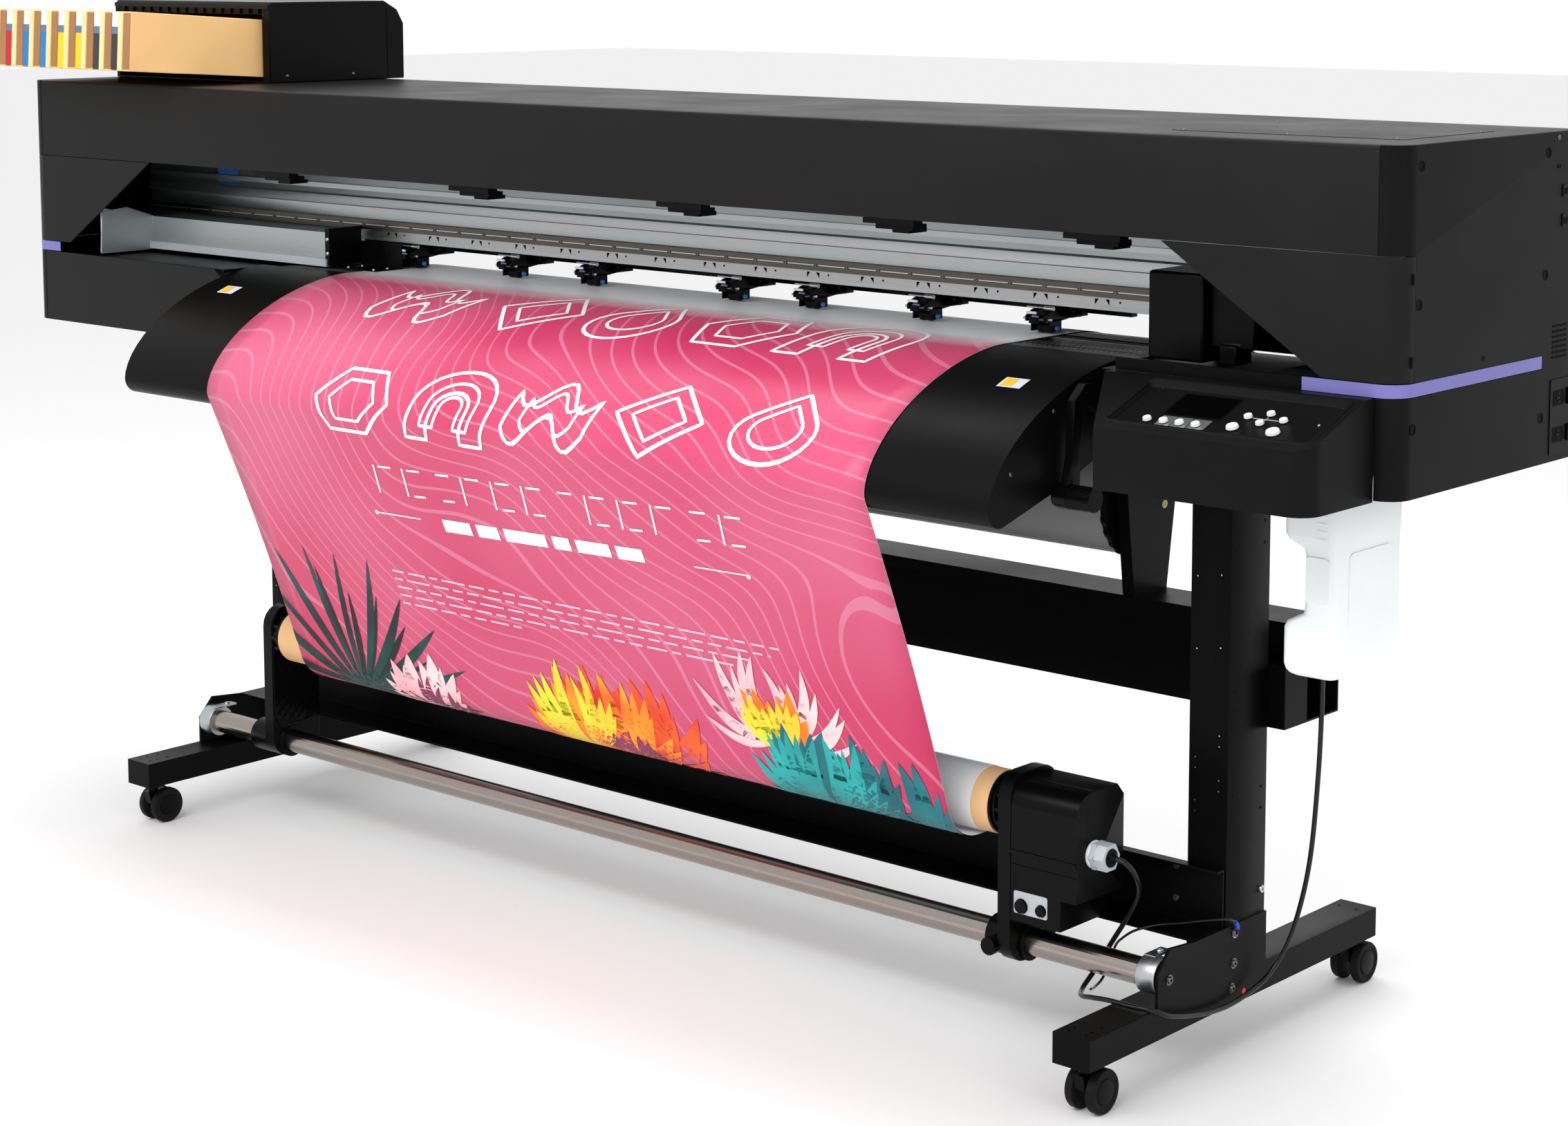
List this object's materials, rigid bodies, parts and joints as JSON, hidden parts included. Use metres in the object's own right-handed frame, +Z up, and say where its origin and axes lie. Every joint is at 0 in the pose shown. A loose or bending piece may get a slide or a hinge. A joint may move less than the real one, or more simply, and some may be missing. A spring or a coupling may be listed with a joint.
{
  "type": "printer cutter",
  "caption": "Wide-format roll-fed inkjet printer and contour cutter for sign and vinyl graphics, on a caster stand with a take-up unit and ink rack.",
  "frame": {"origin": "on the floor under the middle of the machine's whole box", "axes": "+Z up, -Y towards the operator (front heater, control panel and take-up side), X along the width with the print head's home station at +X"},
  "size_m": [2.798, 0.8228, 1.408],
  "materials": {
    "charcoal_plastic": "fine textured matte",
    "black_metal": "matte powder coat",
    "satin_black": "satin",
    "accent_frame": "matte, with a lilac strip",
    "bar_aluminium": "brushed, anodised",
    "bright_steel": "polished shaft",
    "black_plastic": "moulded",
    "black_rubber": "smooth",
    "carton_card": "uncoated cardboard",
    "core_card": "uncoated card tube and white film",
    "white_film": "smooth film",
    "printed_film": "printed film",
    "key_white": "smooth",
    "milky_plastic": "translucent",
    "cable_sheath": "smooth"
  },
  "bodies": {
    "machine": {"top_housing": "charcoal_plastic", "rear_cover": "charcoal_plastic", "left_side_cover": "charcoal_plastic", "right_side_cover": "charcoal_plastic", "lower_left_cover": "charcoal_plastic", "base_frame": "accent_frame", "platen": "satin_black", "front_heater": "satin_black", "y_bar": "bar_aluminium", "control_panel": "charcoal_plastic", "ink_rack": "charcoal_plastic", "left_leg": "black_metal", "right_leg": "black_metal", "lower_beam": "black_metal", "upper_beam": "black_metal", "takeup_rod": "bright_steel", "takeup_motor_unit": "black_plastic", "printed_media": "printed_film", "takeup_cable": "cable_sheath", "earth_wire": "cable_sheath"},
    "left_maintenance_cover": {"left_maintenance_cover": "charcoal_plastic"},
    "right_maintenance_cover": {"right_maintenance_cover": "charcoal_plastic"},
    "print_carriage": {"print_carriage": "charcoal_plastic"},
    "cutter_unit": {"cutter_unit": "black_plastic"},
    "clamp_lever": {"clamp_lever": "black_plastic"},
    "pinch_lift_bar": {"pinch_lift_bar": "black_metal"},
    "pinch_rollers": {"pinch_rollers": "black_rubber"},
    "feed_roller": {"feed_roller": "bright_steel"},
    "menu_key": {"menu_key": "key_white"},
    "function_key_1": {"function_key_1": "key_white"},
    "function_key_2": {"function_key_2": "key_white"},
    "function_key_3": {"function_key_3": "key_white"},
    "end_power_key": {"end_power_key": "key_white"},
    "left_key": {"left_key": "key_white"},
    "up_key": {"up_key": "key_white"},
    "right_key": {"right_key": "key_white"},
    "down_key": {"down_key": "key_white"},
    "enter_key": {"enter_key": "key_white"},
    "ink_carton_1": {"ink_carton_1": "carton_card"},
    "ink_carton_2": {"ink_carton_2": "carton_card"},
    "ink_carton_3": {"ink_carton_3": "carton_card"},
    "ink_carton_4": {"ink_carton_4": "carton_card"},
    "ink_carton_5": {"ink_carton_5": "carton_card"},
    "ink_carton_6": {"ink_carton_6": "carton_card"},
    "ink_carton_7": {"ink_carton_7": "carton_card"},
    "ink_carton_8": {"ink_carton_8": "carton_card"},
    "caster_fork_front_left": {"caster_fork_front_left": "black_plastic"},
    "caster_wheels_front_left": {"caster_wheels_front_left": "black_rubber"},
    "caster_fork_front_right": {"caster_fork_front_right": "black_plastic"},
    "caster_wheels_front_right": {"caster_wheels_front_right": "black_rubber"},
    "caster_fork_rear_left": {"caster_fork_rear_left": "black_plastic"},
    "caster_wheels_rear_left": {"caster_wheels_rear_left": "black_rubber"},
    "caster_fork_rear_right": {"caster_fork_rear_right": "black_plastic"},
    "caster_wheels_rear_right": {"caster_wheels_rear_right": "black_rubber"},
    "takeup_roll": {"takeup_roll": "core_card"},
    "supply_roll": {"supply_roll": "white_film"},
    "left_takeup_holder": {"left_takeup_holder": "black_plastic"},
    "takeup_direction_switch": {"takeup_direction_switch": "black_plastic"},
    "takeup_power_switch": {"takeup_power_switch": "black_plastic"},
    "waste_ink_tank": {"waste_ink_tank": "milky_plastic"}
  },
  "joints": [
    {"name": "left_maintenance_cover_hinge", "type": "hinge", "parent": "machine", "child": "left_maintenance_cover", "pos_m": [-1.399, -0.1731, 1.057], "axis": [0, 0, -1], "range_deg": [0, 110]},
    {"name": "right_maintenance_cover_hinge", "type": "hinge", "parent": "machine", "child": "right_maintenance_cover", "pos_m": [1.399, -0.1731, 1.057], "axis": [0, 0, 1], "range_deg": [0, 110]},
    {"name": "print_carriage_slide", "type": "slide", "parent": "machine", "child": "print_carriage", "axis": [-1, 0, 0], "range_m": [0, 1.69]},
    {"name": "cutter_unit_slide", "type": "slide", "parent": "machine", "child": "cutter_unit", "axis": [-1, 0, 0], "range_m": [0, 1.69]},
    {"name": "clamp_lever_pivot", "type": "hinge", "parent": "machine", "child": "clamp_lever", "pos_m": [0.954, -0.1645, 0.885], "axis": [-1, 0, 0], "range_deg": [0, 22]},
    {"name": "pinch_lift_pivot", "type": "hinge", "parent": "machine", "child": "pinch_lift_bar", "pos_m": [0.014, 0.0805, 0.997], "axis": [-1, 0, 0], "range_deg": [0, 2.2]},
    {"name": "pinch_rollers_spin", "type": "hinge", "parent": "pinch_lift_bar", "child": "pinch_rollers", "pos_m": [0.014, 0.0055, 0.9745], "axis": [1, 0, 0], "continuous": true},
    {"name": "feed_roller_spin", "type": "hinge", "parent": "machine", "child": "feed_roller", "pos_m": [0.014, 0.0055, 0.953], "axis": [1, 0, 0], "continuous": true},
    {"name": "menu_key_press", "type": "slide", "parent": "machine", "child": "menu_key", "axis": [0, 0.3511, -0.9363], "range_m": [0, 0.0009], "stiffness_N_per_m": 400, "springref_m": -0.0004},
    {"name": "function_key_1_press", "type": "slide", "parent": "machine", "child": "function_key_1", "axis": [0, 0.3511, -0.9363], "range_m": [0, 0.0009], "stiffness_N_per_m": 400, "springref_m": -0.0004},
    {"name": "function_key_2_press", "type": "slide", "parent": "machine", "child": "function_key_2", "axis": [0, 0.3511, -0.9363], "range_m": [0, 0.0009], "stiffness_N_per_m": 400, "springref_m": -0.0004},
    {"name": "function_key_3_press", "type": "slide", "parent": "machine", "child": "function_key_3", "axis": [0, 0.3511, -0.9363], "range_m": [0, 0.0009], "stiffness_N_per_m": 400, "springref_m": -0.0004},
    {"name": "end_power_key_press", "type": "slide", "parent": "machine", "child": "end_power_key", "axis": [0, 0.3511, -0.9363], "range_m": [0, 0.0009], "stiffness_N_per_m": 400, "springref_m": -0.0004},
    {"name": "left_key_press", "type": "slide", "parent": "machine", "child": "left_key", "axis": [0, 0.3511, -0.9363], "range_m": [0, 0.0009], "stiffness_N_per_m": 400, "springref_m": -0.0004},
    {"name": "up_key_press", "type": "slide", "parent": "machine", "child": "up_key", "axis": [0, 0.3511, -0.9363], "range_m": [0, 0.0009], "stiffness_N_per_m": 400, "springref_m": -0.0004},
    {"name": "right_key_press", "type": "slide", "parent": "machine", "child": "right_key", "axis": [0, 0.3511, -0.9363], "range_m": [0, 0.0009], "stiffness_N_per_m": 400, "springref_m": -0.0004},
    {"name": "down_key_press", "type": "slide", "parent": "machine", "child": "down_key", "axis": [0, 0.3511, -0.9363], "range_m": [0, 0.0009], "stiffness_N_per_m": 400, "springref_m": -0.0004},
    {"name": "enter_key_press", "type": "slide", "parent": "machine", "child": "enter_key", "axis": [0, 0.3511, -0.9363], "range_m": [0, 0.0009], "stiffness_N_per_m": 400, "springref_m": -0.0004},
    {"name": "ink_carton_1_slide", "type": "slide", "parent": "machine", "child": "ink_carton_1", "axis": [0, -0.9978, 0.0663], "range_m": [0, 0.25]},
    {"name": "ink_carton_2_slide", "type": "slide", "parent": "machine", "child": "ink_carton_2", "axis": [0, -0.9978, 0.0663], "range_m": [0, 0.25]},
    {"name": "ink_carton_3_slide", "type": "slide", "parent": "machine", "child": "ink_carton_3", "axis": [0, -0.9978, 0.0663], "range_m": [0, 0.25]},
    {"name": "ink_carton_4_slide", "type": "slide", "parent": "machine", "child": "ink_carton_4", "axis": [0, -0.9978, 0.0663], "range_m": [0, 0.25]},
    {"name": "ink_carton_5_slide", "type": "slide", "parent": "machine", "child": "ink_carton_5", "axis": [0, -0.9978, 0.0663], "range_m": [0, 0.25]},
    {"name": "ink_carton_6_slide", "type": "slide", "parent": "machine", "child": "ink_carton_6", "axis": [0, -0.9978, 0.0663], "range_m": [0, 0.25]},
    {"name": "ink_carton_7_slide", "type": "slide", "parent": "machine", "child": "ink_carton_7", "axis": [0, -0.9978, 0.0663], "range_m": [0, 0.25]},
    {"name": "ink_carton_8_slide", "type": "slide", "parent": "machine", "child": "ink_carton_8", "axis": [0, -0.9978, 0.0663], "range_m": [0, 0.25]},
    {"name": "caster_swivel_front_left", "type": "hinge", "parent": "machine", "child": "caster_fork_front_left", "pos_m": [-0.9785, -0.2865, 0.0695], "axis": [0, 0, 1], "continuous": true},
    {"name": "caster_roll_front_left", "type": "hinge", "parent": "caster_fork_front_left", "child": "caster_wheels_front_left", "pos_m": [-0.9785, -0.2705, 0.03], "axis": [1, 0, 0], "continuous": true},
    {"name": "caster_swivel_front_right", "type": "hinge", "parent": "machine", "child": "caster_fork_front_right", "pos_m": [1.0065, -0.2865, 0.0695], "axis": [0, 0, 1], "continuous": true},
    {"name": "caster_roll_front_right", "type": "hinge", "parent": "caster_fork_front_right", "child": "caster_wheels_front_right", "pos_m": [1.0065, -0.2705, 0.03], "axis": [1, 0, 0], "continuous": true},
    {"name": "caster_swivel_rear_left", "type": "hinge", "parent": "machine", "child": "caster_fork_rear_left", "pos_m": [-0.9785, 0.3655, 0.0695], "axis": [0, 0, 1], "continuous": true},
    {"name": "caster_roll_rear_left", "type": "hinge", "parent": "caster_fork_rear_left", "child": "caster_wheels_rear_left", "pos_m": [-0.9785, 0.3815, 0.03], "axis": [1, 0, 0], "continuous": true},
    {"name": "caster_swivel_rear_right", "type": "hinge", "parent": "machine", "child": "caster_fork_rear_right", "pos_m": [1.0065, 0.3655, 0.0695], "axis": [0, 0, 1], "continuous": true},
    {"name": "caster_roll_rear_right", "type": "hinge", "parent": "caster_fork_rear_right", "child": "caster_wheels_rear_right", "pos_m": [1.0065, 0.3815, 0.03], "axis": [1, 0, 0], "continuous": true},
    {"name": "takeup_roll_spin", "type": "hinge", "parent": "machine", "child": "takeup_roll", "pos_m": [0.014, -0.1445, 0.338], "axis": [1, 0, 0], "continuous": true},
    {"name": "supply_roll_spin", "type": "hinge", "parent": "machine", "child": "supply_roll", "pos_m": [0.014, 0.1955, 0.71], "axis": [1, 0, 0], "continuous": true},
    {"name": "left_takeup_holder_slide", "type": "slide", "parent": "machine", "child": "left_takeup_holder", "axis": [-1, 0, 0], "range_m": [0, 0.09]},
    {"name": "takeup_direction_switch_press", "type": "slide", "parent": "machine", "child": "takeup_direction_switch", "axis": [0, 1, 0], "range_m": [0, 0.002], "stiffness_N_per_m": 800, "springref_m": -0.0003},
    {"name": "takeup_power_switch_press", "type": "slide", "parent": "machine", "child": "takeup_power_switch", "axis": [0, 1, 0], "range_m": [0, 0.002], "stiffness_N_per_m": 800, "springref_m": -0.0003},
    {"name": "waste_ink_tank_slide", "type": "slide", "parent": "machine", "child": "waste_ink_tank", "axis": [0, 0, -1], "range_m": [0, 0.06]}
  ],
  "couplings": [
    {"joint": "cutter_unit_slide", "follows": "print_carriage_slide", "ratio": 1},
    {"joint": "pinch_lift_pivot", "follows": "clamp_lever_pivot", "ratio": 0.1},
    {"joint": "pinch_rollers_spin", "follows": "feed_roller_spin", "ratio": -1.5333}
  ]
}
